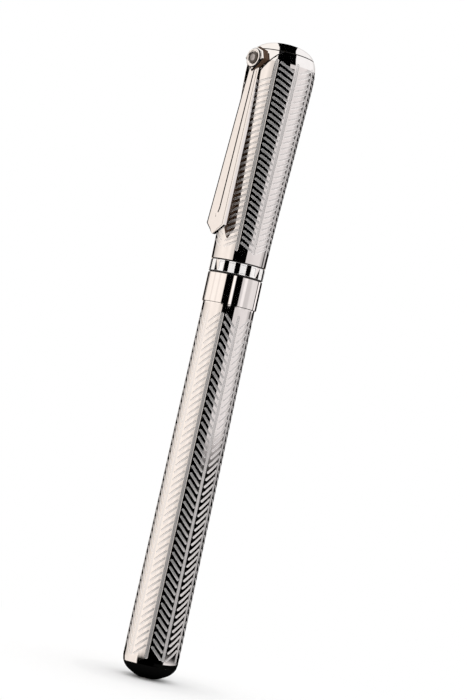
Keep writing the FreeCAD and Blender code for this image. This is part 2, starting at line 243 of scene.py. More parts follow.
class Skin:
    """Outside of a round shell with recesses, made panel by panel on its unrolled surface.

    A recess is (outline, floor outline, depth, floor material, wall material); its depth is
    a number, or a function of the unrolled point.
    """

    def __init__(self, radius, low, high, panels, reference, land=0):
        self.radius, self.low, self.high, self.land = radius, low, high, land
        self.panels, self.reference = panels, reference
        self.points, self.faces, self.normals, self.kinds = [], [], [], []
        self.index = {}

    def arc(self, angle):
        return math.radians(angle) * self.reference

    def slope(self, z):
        return (self.radius(z + 0.05) - self.radius(z - 0.05)) / 0.1

    def point(self, angle, z, depth):
        angle %= 360
        key = (round(angle, 3) % 360, round(z, 4), round(depth, 4))
        if key not in self.index:
            self.index[key] = len(self.points)
            self.points.append(on_round(angle, self.radius(z) - depth, z))
        return self.index[key]

    def panel(self, start, recesses, across, tall):
        """One panel from the angle start; across and tall are the counts of grid cells."""
        width = self.arc(360 / self.panels)
        columns = [width * i / across for i in range(across + 1)]
        rows = [self.low + (self.high - self.low) * j / tall for j in range(tall + 1)]
        frame_line = [Vector((x, self.low)) for x in columns]
        frame_line += [Vector((width, z)) for z in rows[1:]]
        frame_line += [Vector((x, self.high)) for x in reversed(columns[:-1])]
        frame_line += [Vector((0, z)) for z in reversed(rows[1:-1])]
        coords, loops = list(frame_line), [list(range(len(frame_line)))]
        for outline, floor, *_ in recesses:
            for line in (outline, floor):
                loops.append(list(range(len(coords), len(coords) + len(line))))
                coords += line
        clear = self.clearance([r[0] for r in recesses])
        coords += [Vector((x, z)) for x in columns[1:-1] for z in rows[1:-1] if clear(x, z)]
        flat, _, faces, _, _, sources = delaunay_2d_cdt(coords, [], loops, 0, 1e-5)
        deep = {}
        for face, source in zip(faces, sources):
            for loop in source:
                if loop and loop % 2 == 0:
                    depth = recesses[loop // 2 - 1][2]
                    for v in face:
                        deep[v] = depth(flat[v]) if callable(depth) else depth
        for face, source in zip(faces, sources):
            inner = [loop for loop in source if loop]
            floors = [loop for loop in inner if loop % 2 == 0]
            kind, faceted = self.land, False
            if floors:
                depth, kind = recesses[floors[0] // 2 - 1][2:4]
                faceted = callable(depth)
            elif inner:
                kind, faceted = recesses[(inner[0] + 1) // 2 - 1][4], True
            self.add(start, flat, face, deep, kind, faceted)

    def clearance(self, outlines):
        boxes = [(min(p.x for p in o), max(p.x for p in o), min(p.y for p in o),
                  max(p.y for p in o), o) for o in outlines]
        near = 0.06

        def clear(x, z):
            for x0, x1, z0, z1, outline in boxes:
                if x0 - near < x < x1 + near and z0 - near < z < z1 + near:
                    if inside(x, z, outline) or any(
                            abs(p.x - x) < near and abs(p.y - z) < near for p in outline):
                        return False
            return True

        return clear

    def add(self, start, flat, face, deep, kind, faceted):
        corners = [(start + math.degrees(flat[v].x / self.reference), flat[v].y,
                    deep.get(v, 0.0)) for v in face]
        face_points = [self.point(*corner) for corner in corners]
        if len(set(face_points)) < 3:
            return
        if faceted:
            a, b, c = (self.points[i] for i in face_points[:3])
            normals = [(b - a).cross(c - a).normalized()] * len(face)
        else:
            normals = [outward(angle, self.slope(z)) for angle, z, _ in corners]
        self.faces.append(face_points)
        self.normals.append(normals)
        self.kinds.append(kind)

    def ring(self, z):
        """Points of the rim at a level, in order of angle."""
        rim = [i for (_, level_z, _), i in self.index.items() if abs(level_z - z) < 1e-3]
        return sorted(rim, key=lambda i: math.atan2(self.points[i].y, self.points[i].x))

    def close(self, inside_profile, kinds):
        """Closes the skin through its bore; the profile runs from the low rim to the high one."""
        lower, upper = self.ring(self.low), self.ring(self.high)
        rings = [lower]
        for r, z in inside_profile:
            ring = []
            for i in lower:
                angle = math.degrees(math.atan2(self.points[i].y, self.points[i].x))
                ring.append(len(self.points))
                self.points.append(on_round(angle, r, z))
            rings.append(ring)
        rings.append(upper)
        count = len(lower)
        for one, two, kind in zip(rings, rings[1:], kinds):
            for i in range(count):
                j = (i + 1) % count
                face = [one[j], one[i], two[i], two[j]]
                a, b, c = (self.points[k] for k in face[:3])
                self.faces.append(face)
                self.normals.append([(b - a).cross(c - a).normalized()] * 4)
                self.kinds.append(kind)

    def mesh(self, name):
        mesh = bpy.data.meshes.new(name)
        mesh.from_pydata(self.points, [], self.faces)
        mesh.shade_smooth()
        mesh.polygons.foreach_set("material_index", self.kinds)
        mesh.normals_split_custom_set([n for normals in self.normals for n in normals])
        return mesh


def inside(x, z, outline):
    """True if the point is within the outline."""
    hit = False
    for a, b in zip(outline, outline[1:] + outline[:1]):
        if (a.y > z) != (b.y > z) and x < a.x + (b.x - a.x) * (z - a.y) / (b.y - a.y):
            hit = not hit
    return hit


def strokes(skin, marks, leans, blocked):
    """The recesses of one column and of the spine at its right, from the column's left edge."""
    margin = SPINE_HALF + SPINE_GAP / 2
    pitch_x = skin.arc(360 / SPINES)
    left = SPINE_GAP / 2 + marks["half"]
    right = pitch_x - 2 * margin + SPINE_GAP / 2 - marks["half"]
    rise = (right - left) * math.tan(math.radians(marks["slope"]))
    lowest, highest = marks["low"] + marks["half"], marks["high"] - marks["half"]
    count = int((highest - lowest - rise) / marks["pitch"]) + 1
    spare = (highest - lowest - rise - (count - 1) * marks["pitch"]) / 2
    lines = []
    for k in range(count):
        base = lowest + spare + k * marks["pitch"]
        ends = (base, base + rise) if leans > 0 else (base + rise, base)
        lines.append((Vector((left, ends[0])), Vector((right, ends[1])), marks["half"]))
    spine_x = pitch_x - margin
    top = marks["high"] - SPINE_HALF
    while blocked([Vector((spine_x, top + SPINE_HALF))]):
        top -= 0.2
    lines.append((Vector((spine_x, marks["low"] + SPINE_HALF)), Vector((spine_x, top)),
                  SPINE_HALF))
    recesses = []
    for start, end, half in lines:
        outline = stadium(start, end, half)
        if not blocked(outline):
            recesses.append((outline, stadium(start, end, half - RIM), RECESS, 1, 2))
    return recesses


def engraved_skin(skin, marks, blocked):
    """All panels of an engraved shell; blocked(start, outline) leaves a stroke out."""
    margin = math.degrees((SPINE_HALF + SPINE_GAP / 2) / skin.reference)
    cells_across, cells_tall = 18, round(skin.high - skin.low)
    for k in range(SPINES):
        start = PATTERN_ANGLE + 360 / SPINES * k + margin
        recesses = strokes(skin, marks, 1 if k % 2 == 0 else -1,
                           lambda outline, start=start: blocked(start, outline))
        skin.panel(start, recesses, cells_across, cells_tall)


def barrel_shell():
    skin = Skin(radius_along(BARREL_CURVE), TAIL_SEAM, BARREL_TOP, SPINES, 5.8)
    engraved_skin(skin, BARREL_MARKS, lambda start, outline: False)
    skin.close([(BARREL_BORE_R, TAIL_SEAM), (BARREL_BORE_R, BARREL_TOP)], (3, 3, 3))
    add_piece("barrel_engraved", skin.mesh("barrel_engraved"), "barrel", ["barrel_shell"],
              [POLISHED, SATIN, RIMS, BRASS])


def in_shield(angle, z, grow):
    """True where a point of the cap's skin is under the shield, grown by a margin."""
    across = CAP_RADIUS(z) * math.sin(math.radians(angle - CLIP_ANGLE))
    front = math.cos(math.radians(angle - CLIP_ANGLE)) > 0
    edge = SHIELD_HALF / (CAP[1] - SHIELD_APEX)
    room = (z - SHIELD_APEX) * edge + grow * math.hypot(1, edge)
    return front and z > SHIELD_APEX - grow * 2 and abs(across) < room


def cap_shell():
    skin = Skin(CAP_RADIUS, CAP[0], CAP[1], SPINES, 6.6)

    def blocked(start, outline):
        return any(in_shield(start + math.degrees(p.x / skin.reference), p.y, 0.3)
                   for p in outline)

    engraved_skin(skin, CAP_MARKS, blocked)
    skin.close([(5.2, CAP[0]), (5.2, 104.0), (6.3, 128.0), (6.3, 133.6), (2.3, 133.6),
                (2.3, CAP[1])], (3,) * 7)
    add_piece("cap_engraved", skin.mesh("cap_engraved"), "cap", ["cap_shell"],
              [POLISHED, SATIN, RIMS, BRASS])


def trim_ring():
    """Ring of frosted plates between sloping-floored slots, with a groove at each edge; slot walls
    and grooves are lined with near-black painted shade.
    """
    groove, groove_r, bore_r = 0.30, BAND_R - 0.25, 5.2
    low, high = RING[0] + groove, RING[1] - groove
    skin = Skin(lambda z: BAND_R, low, high, RING_PLATES, BAND_R, 1)
    slot_half, slot_deep, wall, before = 0.55, 0.24, 0.03, 0.06
    floor_slope = math.tan(math.radians(9))
    middle = Vector((slot_half + before, (low + high) / 2))
    tall = (high - low) / 2 - 0.02
    width = skin.arc(360 / RING_PLATES)

    def sloping_floor(point):
        flat = BAND_R - slot_deep - (middle.y - point.y) * floor_slope
        return BAND_R - flat / math.cos((point.x - middle.x) / BAND_R)

    # The slots' walls (kind 2) take the near-black painted shade.
    slot = (rectangle(middle, slot_half, tall, 0.02),
            rectangle(middle, slot_half - wall, tall - wall, 0.02), sloping_floor, 0, 2)
    plate_half = (width - 2 * slot_half) / 2 - 0.17
    plate = Vector((middle.x + width / 2, middle.y))
    panel = (rectangle(plate, plate_half, tall - 0.26, 0.05),
             rectangle(plate, plate_half - 0.05, tall - 0.31, 0.04), 0.03, 1, 0)
    for k in range(RING_PLATES):
        start = CLIP_ANGLE + 360 / RING_PLATES * k - math.degrees(middle.x / BAND_R)
        skin.panel(start, [slot, panel], 12, 5)
    # The grooves at both edges are lined with the near-black painted shade (kind 2).
    skin.close([(groove_r, low), (groove_r, RING[0]), (bore_r, RING[0]), (bore_r, RING[1]),
                (groove_r, RING[1]), (groove_r, high)], (2, 2, 0, 0, 0, 2, 2))
    add_piece("ring_of_plates", skin.mesh("ring_of_plates"), "cap", ["cap_trim_ring"],
              [POLISHED, FROSTED, SHADOW])


# ==== plain turned pieces ========================================================================
def turned_pieces():
    plug_r, plug_top, plug_floor = 3.5, 12, 8.5
    plug = [(BARREL_BORE_R, TAIL_SEAM), (BARREL_BORE_R, plug_top), (plug_r, plug_top),
            (plug_r, plug_floor), (0, plug_floor)]
    lathe("tail_dome", [(0, TAIL_TIP)] + smooth(DOME_CURVE) + plug, "barrel", ["tail_cap"],
          POLISHED)
    edge = 0.1
    low, high = BAND
    lathe("wide_band", [(BARREL_BORE_R, low), (BAND_R - edge, low), (BAND_R, low + edge),
          (BAND_R, high - edge), (BAND_R - edge, high), (BARREL_BORE_R, high)],
          "barrel", ["barrel_ferrule"], POLISHED)
    seam, seam_r = CAP[1] + 0.23, 6.44
    crown = [point for point in smooth(CROWN_CURVE) if point[1] > seam]
    lathe("crown_dome", [(2.3, 133.6), (2.3, seam), (seam_r, seam)] + crown + [(0, 133.6)],
          "cap", ["cap_crown"], POLISHED)
    # A near-black ring in the seam's gap: painted shade where the crown meets the cap.
    lathe("crown_seam", [(2.4, CAP[1] + 0.01), (6.38, CAP[1] + 0.01), (6.38, seam - 0.01),
          (2.4, seam - 0.01)], "cap", [], SHADOW)
    lathe("grip_lacquered", [(3.9, GRIP[0])] + smooth(GRIP_CURVE) + [(3.9, GRIP[1])],
          "section", ["grip_sleeve"], LACQUER)
    lathe("nose_plated", [(3.5, 115.0), (3.5, GRIP[1])] + smooth(NOSE_CURVE)
          + [(1.3, NOSE_TOP), (1.3, 122.5), (3.15, 119.5), (3.15, 115.0)],
          "section", ["nose_cone"], POLISHED)
    ring = smooth([(4.95, 97.0), (5.0, 97.4), (4.97, 97.8), (4.75, 98.2)])
    lathe("grip_ring", [(3.9, 97.0)] + ring + [(3.9, 98.2)], "section", ["grip_trim_ring"],
          POLISHED)


# ==== clip =======================================================================================
def face_level(z):
    """How far the clip's face stands from the axis at a level."""
    (top_y, top_z), (low_y, low_z) = (8.10, 125.3), (9.05, 97.7)
    return top_y + (low_y - top_y) * (z - top_z) / (low_z - top_z)


def clip_arm():
    """Arm lofted from its top to its pointed tip, with bevelled edges and a raised rib."""
    top_z, shoulder_z, tip_z = 131.0, 97.0, CLIP_TIP
    rib_top, rib_end, rib_point = 0.45, 100.4, 98.4
    left_bevel, right_bevel, step_down, rib_edge = (0.60, 0.27), (0.32, 0.16), 0.05, 0.16
    stations = [top_z, 125.0, 118.0, 110.0, 104.0, rib_end, 99.4, rib_point, 97.9, shoulder_z,
                95.9, tip_z]
    bm = bmesh.new()
    rings = []
    for z in stations:
        half = 1.62 + (2.75 - 1.62) * (top_z - z) / (top_z - shoulder_z)
        if z < shoulder_z:
            half *= (z - tip_z) / (shoulder_z - tip_z) + 0.03
        share = min(1.0, half / 1.6)
        thick = 0.62 if z > 124 else 0.85
        rib = min(1.0, max(0.0, (z - rib_point) / (rib_end - rib_point)))
        rib_half = min(rib_top * rib + 0.01, half * 0.4)
        rib_foot, high = rib_half + rib_edge * share, rib_edge * min(1, 3 * rib)
        (lw, ld), (rw, rd), down = (
            (left_bevel[0] * share, left_bevel[1] * share),
            (right_bevel[0] * share, right_bevel[1] * share), step_down * share)
        outline = [(0, high), (rib_half, high), (rib_foot, 0), (half - rw - down, 0),
                   (half - rw, -down), (half, -rd), (half, -thick), (0, -thick),
                   (-half, -thick), (-half, -ld), (lw - half, 0), (-rib_foot, 0),
                   (-rib_half, high)]
        rings.append([bm.verts.new(Vector((x, -(face_level(z) + d), z)) * MM)
                      for x, d in outline])
    # The underside faces and the foot take the dark brown painted shade, standing in for the dark
    # reflection under the arm.
    under = (6, 7)
    for one, two in zip(rings, rings[1:]):
        for i in range(len(one)):
            j = (i + 1) % len(one)
            face = bm.faces.new((one[i], one[j], two[j], two[i]))
            face.material_index = 1 if i in under else 0
    bm.faces.new(rings[0])
    bm.faces.new(rings[-1])
    add_prism(bm, [(-8.2, 102.4), (-8.45, 97.6), (-7.3, 97.35), (-6.34, 98.6), (-6.40, 99.8)],
              1.1, 1)
    bmesh.ops.recalc_face_normals(bm, faces=bm.faces)
    mesh = bpy.data.meshes.new("clip_blade")
    bm.to_mesh(mesh)
    bm.free()
    piece = add_piece("clip_blade", mesh, "clip", ["clip_arm"],
                      [POLISHED, PAINTED_SHADE_UNDERSIDE])
    soften(piece, 0.015)
    smooth_with_corners(mesh, 12.0)


def add_prism(bm, outline, half, kind=0):
    """Adds a (y, z) polygon as a prism across x."""
    sides = [[bm.verts.new(Vector((x, y, z)) * MM) for y, z in outline] for x in (-half, half)]
    faces = [bm.faces.new(sides[0]), bm.faces.new(sides[1])]
    for i in range(len(outline)):
        j = (i + 1) % len(outline)
        faces.append(bm.faces.new((sides[0][i], sides[0][j], sides[1][j], sides[1][i])))
    for face in faces:
        face.material_index = kind


def soften(piece, width, segments=2):
    """Fine rounded edges."""
    bevel = piece.modifiers.new("edges", "BEVEL")
    bevel.width, bevel.segments = width * MM, segments
    bevel.limit_method, bevel.angle_limit = "ANGLE", math.radians(25)
    bevel.harden_normals = True


HEAD_CORNERS = [(2.35, 0.0), (1.75, 1.35), (0.0, 2.0), (-1.75, 1.35), (-2.35, 0.0), (0.0, -2.4)]


def head_outline(grown, sides=48):
    """Points of the head's outline from the stone's centre, evenly spread by angle."""
    corners = [Vector(c) * grown for c in HEAD_CORNERS]
    points = []
    for i in range(sides):
        a = 2 * math.pi * i / sides
        ray = Vector((math.cos(a), math.sin(a)))
        for one, two in zip(corners, corners[1:] + corners[:1]):
            along = two - one
            across = ray.x * along.y - ray.y * along.x
            reach_out = (one.x * along.y - one.y * along.x) / across if across else -1
            share = (one.x * ray.y - one.y * ray.x) / across if across else -1
            if reach_out > 0 and -1e-9 <= share <= 1 + 1e-9:
                points.append(ray * reach_out)
                break
    return points


def clip_head():
    """Faceted boss for the stone, hollow behind so that it swings clear of the shield."""
    foot_grown, face_y, face_r = 1.38, -8.42, 1.80
    gap, spread, hinge_z = 0.22, 0.10, 131.0
    # The middle step (kind 1) is a thin strip of near-black painted shade, a dark line round the
    # boss.
    steps = [(1.20, -8.14, 0), (1.06, -8.28, 1), (1.02, -8.30, 0)]
    foot = head_outline(foot_grown)
    bm = bmesh.new()

    def over_cap(x, z):
        r = CAP_RADIUS(min(z, CAP[1])) + gap + spread * max(0, z - hinge_z)
        return -math.sqrt(r * r - x * x)

    rings = [[(x, over_cap(x, STONE_Z + h), STONE_Z + h) for x, h in foot]]
    rings += [[(x, y, STONE_Z + h) for x, h in head_outline(grown)] for grown, y, _ in steps]
    rings.append([(p.x, face_y, STONE_Z + p.y) for p in (v.normalized() * face_r for v in foot)])
    rings = [[bm.verts.new(Vector(p) * MM) for p in ring] for ring in rings]
    # Faces from the foot ring, and the back, take the dark brown painted shade (kind 2).
    for one, two, kind in zip(rings, rings[1:], [2] + [kind for *_, kind in steps]):
        for i in range(len(one)):
            j = (i + 1) % len(one)
            bm.faces.new((one[i], one[j], two[j], two[i])).material_index = kind
    bm.faces.new(rings[-1])
    hub = bm.verts.new(Vector((0, over_cap(0, STONE_Z), STONE_Z)) * MM)
    for one, two in zip(rings[0], rings[0][1:] + rings[0][:1]):
        bm.faces.new((two, one, hub)).material_index = 2
    add_prism(bm, [(-7.6, 130.7), (-7.6, 132.7), (-7.0, 132.7), (-7.0, 130.7)], 1.0)
    bmesh.ops.recalc_face_normals(bm, faces=bm.faces)
    mesh = bpy.data.meshes.new("clip_head")
    bm.to_mesh(mesh)
    bm.free()
    add_piece("clip_head", mesh, "clip", [], [POLISHED, SHADOW, PAINTED_SHADE_UNDERSIDE])
    smooth_with_corners(mesh, 9.0)


def stone_setting():
    """Bezel ring with a near-black painted shade line, and a cut stone: table, star and girdle
    facets, the middle ones with a painted highlight.
    """
    axis = ((0, 0, STONE_Z), (0, -1, 0))
    rim = smooth([(1.56, 8.60), (1.68, 8.68), (1.90, 8.64), (2.02, 8.46)], 5)
    lathe("stone_bezel", [(1.47, 8.38), (1.47, 8.56)] + rim + [(2.02, 8.38)], "clip",
          ["clip_bezel"], POLISHED, 72, axis)
    # A thin near-black ring just outside the bezel: a painted shade line.
    lathe("bezel_line", [(1.95, 8.39), (1.95, 8.46), (2.10, 8.44), (2.10, 8.36)], "clip", [],
          SHADOW, 72, axis)
    bm = bmesh.new()
    facets, heart = 8, 0.80
    layers = [(1.44, 8.30, 0.0), (1.44, 8.42, 0.0), (1.12, 8.62, 0.5), (0.74, 8.70, 0.0)]
    for r, out, shift in layers:
        for i in range(facets):
            a = 2 * math.pi * (i + shift) / facets
            bm.verts.new(Vector((r * math.cos(a), -out, STONE_Z + r * math.sin(a))) * MM)
    bmesh.ops.convex_hull(bm, input=bm.verts)
    # Facets near the middle take the lighter grey, a painted highlight; the rest stay dark.
    for face in bm.faces:
        middle = face.calc_center_median() / MM
        face.material_index = int(math.hypot(middle.x, middle.z - STONE_Z) < heart)
    mesh = bpy.data.meshes.new("cut_stone")
    bm.to_mesh(mesh)
    bm.free()
    add_piece("cut_stone", mesh, "clip", ["clip_stone"], [STONE, STONE_PAINTED_HIGHLIGHT])


def shield():
    """Polished triangle let into the cap's skin, a little proud of it, with sloping edges in
    near-black painted shade.
    """
    raised, edge, sunk = 0.06, 0.34, 0.05
    slope = SHIELD_HALF / (CAP[1] - SHIELD_APEX)
    rows, columns = 26, 24
    bm = bmesh.new()
    grids = []
    for grow in (0.0, -edge):
        apex = SHIELD_APEX + (0 if grow == 0 else edge * 2.0)
        grid = []
        for j in range(rows + 1):
            z = apex + (CAP[1] - 0.02 - apex) * (j / rows)
            half = max((z - SHIELD_APEX) * slope + grow * math.hypot(1, slope), 0.02)
            line = []
            for i in range(columns + 1):
                x = half * (2 * i / columns - 1)
                high = raised if grow else -sunk
                r = CAP_RADIUS(z) + high
                line.append(bm.verts.new(Vector((x, -math.sqrt(r * r - x * x), z)) * MM))
            grid.append(line)
        grids.append(grid)
    outer, inner = grids
    for j in range(rows):
        for i in range(columns):
            bm.faces.new((inner[j][i], inner[j][i + 1], inner[j + 1][i + 1], inner[j + 1][i]))
        # Side and top bevels take the near-black painted shade, a dark edge line.
        for side in (0, columns):
            bevel = bm.faces.new((outer[j][side], inner[j][side], inner[j + 1][side],
                                  outer[j + 1][side]))
            bevel.material_index = 1
    for i in range(columns):
        bevel = bm.faces.new((outer[0][i], outer[0][i + 1], inner[0][i + 1], inner[0][i]))
        bevel.material_index = 1
        bm.faces.new((outer[-1][i], outer[-1][i + 1], inner[-1][i + 1], inner[-1][i]))
    spare = [v for v in bm.verts if not v.link_faces]
    bmesh.ops.delete(bm, geom=spare, context="VERTS")
    bmesh.ops.recalc_face_normals(bm, faces=bm.faces)
    mesh = bpy.data.meshes.new("shield")
    bm.to_mesh(mesh)
    bm.free()
    smooth_with_corners(mesh, 12.0)
    add_piece("shield", mesh, "cap", ["clip_shield"], [POLISHED, SHADOW])


# ==== materials ==================================================================================
def material(name, **sockets):
    """Principled material with constant sockets, and its nodes and links for more."""
    made = bpy.data.materials.new(name)
    made.use_nodes = True
    nodes, links = made.node_tree.nodes, made.node_tree.links
    shader = nodes["Principled BSDF"]
    for socket, value in sockets.items():
        shader.inputs[socket.replace("_", " ")].default_value = value
    return made, nodes, links, shader


def grain(nodes, links, scale, stretch=(1, 1, 1), detail=3.0):
    """Noise in the piece's own coordinates; scale is the number of cells in a metre."""
    coords = nodes.new("ShaderNodeTexCoord")
    mapping = nodes.new("ShaderNodeMapping")
    mapping.inputs["Scale"].default_value = stretch
    noise = nodes.new("ShaderNodeTexNoise")
    noise.inputs["Scale"].default_value = scale
    noise.inputs["Detail"].default_value = detail
    links.new(coords.outputs["Object"], mapping.inputs["Vector"])
    links.new(mapping.outputs["Vector"], noise.inputs["Vector"])
    return noise.outputs["Fac"]


def ranged(nodes, links, value, low, high):
    node = nodes.new("ShaderNodeMapRange")
    node.inputs["From Min"].default_value, node.inputs["From Max"].default_value = 0.3, 0.7
    node.inputs["To Min"].default_value, node.inputs["To Max"].default_value = low, high
    links.new(value, node.inputs["Value"])
    return node.outputs["Result"]


def tinted(nodes, links, value, dark, light):
    ramp = nodes.new("ShaderNodeValToRGB")
    ramp.color_ramp.elements[0].position, ramp.color_ramp.elements[1].position = 0.3, 0.7
    ramp.color_ramp.elements[0].color = (*dark, 1)
    ramp.color_ramp.elements[1].color = (*light, 1)
    links.new(value, ramp.inputs["Fac"])
    return ramp.outputs["Color"]


def bumped(nodes, links, shader, value, strength, depth_mm):
    bump = nodes.new("ShaderNodeBump")
    bump.inputs["Strength"].default_value = strength
    bump.inputs["Distance"].default_value = depth_mm * MM
    links.new(value, bump.inputs["Height"])
    links.new(bump.outputs["Normal"], shader.inputs["Normal"])


def surface(name, dark, light, rough, cells, bump=0.0, depth=0.01, stretch=(1, 1, 1), **sockets):
    """Material with a fine variation of colour, roughness and height."""
    made, nodes, links, shader = material(name, **sockets)
    value = grain(nodes, links, cells, stretch)
    links.new(tinted(nodes, links, value, dark, light), shader.inputs["Base Color"])
    links.new(ranged(nodes, links, value, *rough), shader.inputs["Roughness"])
    if bump:
        bumped(nodes, links, shader, value, bump, depth)
    return made


POLISHED = surface("polished_plating", (0.90, 0.893, 0.885), (0.94, 0.935, 0.93), (0.015, 0.04),
                   900, Metallic=1.0)
SATIN = surface("satin_engraving", (0.80, 0.785, 0.78), (0.90, 0.89, 0.885), (0.30, 0.38),
                14000, 0.3, 0.003, Metallic=0.85)
RIMS = surface("engraving_rims", (0.90, 0.885, 0.88), (0.96, 0.95, 0.945), (0.22, 0.28),
               9000, Metallic=0.75)
FROSTED = surface("frosted_plates", (0.84, 0.82, 0.81), (0.90, 0.89, 0.88), (0.38, 0.46),
                  12000, 0.2, 0.002, Metallic=0.25)
# Near-black painted shade: put in seams, slot walls, grooves, bevels and thin lines where there is
# only shade or a dark reflection.
SHADOW = surface("painted_shade_black", (0.004, 0.004, 0.004), (0.010, 0.009, 0.009), (0.5, 0.6),
                 5000)
# Dark brown painted shade for faces turned to the cap (clip underside, foot, the head's rim and
# back), standing in for shade and the cap's dark reflection.
PAINTED_SHADE_UNDERSIDE = surface("painted_shade_underside", (0.07, 0.038, 0.02), (0.11, 0.06, 0.035), (0.3, 0.4),
                    3000, Metallic=0.3)
BRASS = surface("turned_brass", (0.70, 0.52, 0.25), (0.80, 0.62, 0.33), (0.18, 0.30), 3000,
                0.2, 0.004, (0.05, 0.05, 1), Metallic=1.0)
STEEL = surface("drawn_steel", (0.52, 0.52, 0.53), (0.66, 0.66, 0.67), (0.22, 0.34), 4000,
                0.2, 0.003, (1, 1, 0.05), Metallic=1.0)
ZINC = surface("zinc_plating", (0.58, 0.60, 0.62), (0.72, 0.74, 0.76), (0.3, 0.42), 2500,
               0.2, 0.004, Metallic=1.0)
LACQUER = surface("black_lacquer", (0.006, 0.006, 0.007), (0.012, 0.012, 0.013), (0.08, 0.13),
                  700, Coat_Weight=0.8, Coat_Roughness=0.03)
PLASTIC = surface("black_plastic", (0.018, 0.018, 0.019), (0.03, 0.03, 0.031), (0.38, 0.5),
                  6000, 0.3, 0.006)
RUBBER = surface("seal_rubber", (0.012, 0.012, 0.012), (0.022, 0.022, 0.022), (0.6, 0.75), 5000,
                 0.3, 0.008)
STONE = surface("dark_stone", (0.022, 0.014, 0.010), (0.05, 0.035, 0.025), (0.02, 0.05), 1500,
                Coat_Weight=0.3, Coat_Roughness=0.01)
# Lighter grey for the stone's middle facets: a painted highlight, standing in for the reflection
# on the table.
STONE_PAINTED_HIGHLIGHT = surface("stone_painted_highlight", (0.20, 0.18, 0.17), (0.42, 0.39, 0.38), (0.02, 0.05), 1500,
                      Metallic=0.5, Coat_Weight=0.5, Coat_Roughness=0.01)
CARBIDE = surface("carbide", (0.36, 0.36, 0.38), (0.46, 0.46, 0.48), (0.12, 0.2), 9000,
                  Metallic=1.0)
FIBRE = surface("ink_fibre", (0.02, 0.02, 0.05), (0.07, 0.07, 0.12), (0.8, 0.95), 4000, 0.5,
                0.03, (1, 1, 0.05))

NODE_MATERIALS = {
    "engraved_plate": POLISHED, "polished_plate": POLISHED, "brass": BRASS,
    "spring_steel": STEEL, "refill_metal": STEEL, "zinc_steel": ZINC, "black_plastic": PLASTIC,
    "black_lacquer": LACQUER, "seal_rubber": RUBBER, "dark_stone": STONE, "carbide": CARBIDE,
    "ink_fibre": FIBRE,
}


def dress_cad_nodes():
    """Gives every CAD node the material of its slot."""
    for part in frame["record"]["subparts"]:
        mesh = frame["nodes"][part["node"]].data
        mesh.materials.clear()
        mesh.materials.append(NODE_MATERIALS[part["material_slot"]])


# ==== studio =====================================================================================
def camera_axes():
    """Level directions to the camera's right and from the pen towards the camera."""
    a = math.radians(CAMERA_AZIMUTH)
    return Vector((math.cos(a), math.sin(a), 0)), Vector((math.sin(a), -math.cos(a), 0))


def camera():
    right, back = camera_axes()
    data = bpy.data.cameras.new("camera")
    data.lens, data.sensor_width, data.sensor_fit = LENS, 36.0, "AUTO"
    made = bpy.data.objects.new("camera", data)
    bpy.context.scene.collection.objects.link(made)
    place = (back * CAMERA_DISTANCE + Vector((0, 0, CAMERA_LEVEL))) * MM
    aim = (right * AIM_SIDE + Vector((0, 0, AIM_LEVEL))) * MM
    roll = Quaternion((0, 0, 1), math.radians(CAMERA_ROLL))
    made.rotation_mode = "QUATERNION"
    made.rotation_quaternion = (aim - place).to_track_quat("-Z", "Y") @ roll
    made.location = place
    data.clip_start, data.clip_end = 0.01, 20.0
    bpy.context.scene.camera = made


BACK = [(-180, 0.9), (-166, 0.9), (-165, 0.0), (-136, 0.0)]
LEFT = [(-134, 0.60), (-126, 0.70), (-100, 0.96), (-80, 1.05), (-60, 0.98), (-47, 1.05),
        (-38, 0.84), (-28, 0.76), (-27, 0.0)]
UPPER = BACK + LEFT + [(27, 0.0), (28, 0.76), (36, 0.72), (60, 0.80), (92, 0.84), (102, 0.60),
                       (110, 0.52), (113, 0.05), (119, 0.05), (122, 0.55), (132, 0.58),
                       (134, 0.01), (165, 0.0), (166, 0.9)]
LOWER = BACK + LEFT + [(112, 0.0), (118, 0.16), (124, 0.18), (130, 0.0), (165, 0.0), (166, 0.9)]
BAND_TONES = [(-138, 0.0), (-137, 0.85), (-135, 0.85), (-134, 0.02), (-131, 0.02), (-130, 1.0),
              (-98, 1.1), (-92, 0.88), (-86, 1.1), (-70, 1.1), (-65, 0.90), (-58, 1.1),
              (-37, 1.0), (-36, 0.0), (-6, 0.0), (-5, 1.15), (5, 1.15), (6, 0.0), (33, 0.0),
              (34, 0.74), (40, 0.68), (46, 1.0), (54, 1.0), (58, 0.66), (74, 0.66), (84, 0.86),
              (114, 0.82), (116, 0.03), (121, 0.03), (123, 1.1), (135, 1.1), (137, 0.0)]
SLOT_TONES = BACK + [(-134, 0.9), (-57, 1.0), (-56, 0.0), (56, 0.0), (57, 0.9), (139, 0.9),
                     (141, 0.0), (165, 0.0), (166, 0.9)]


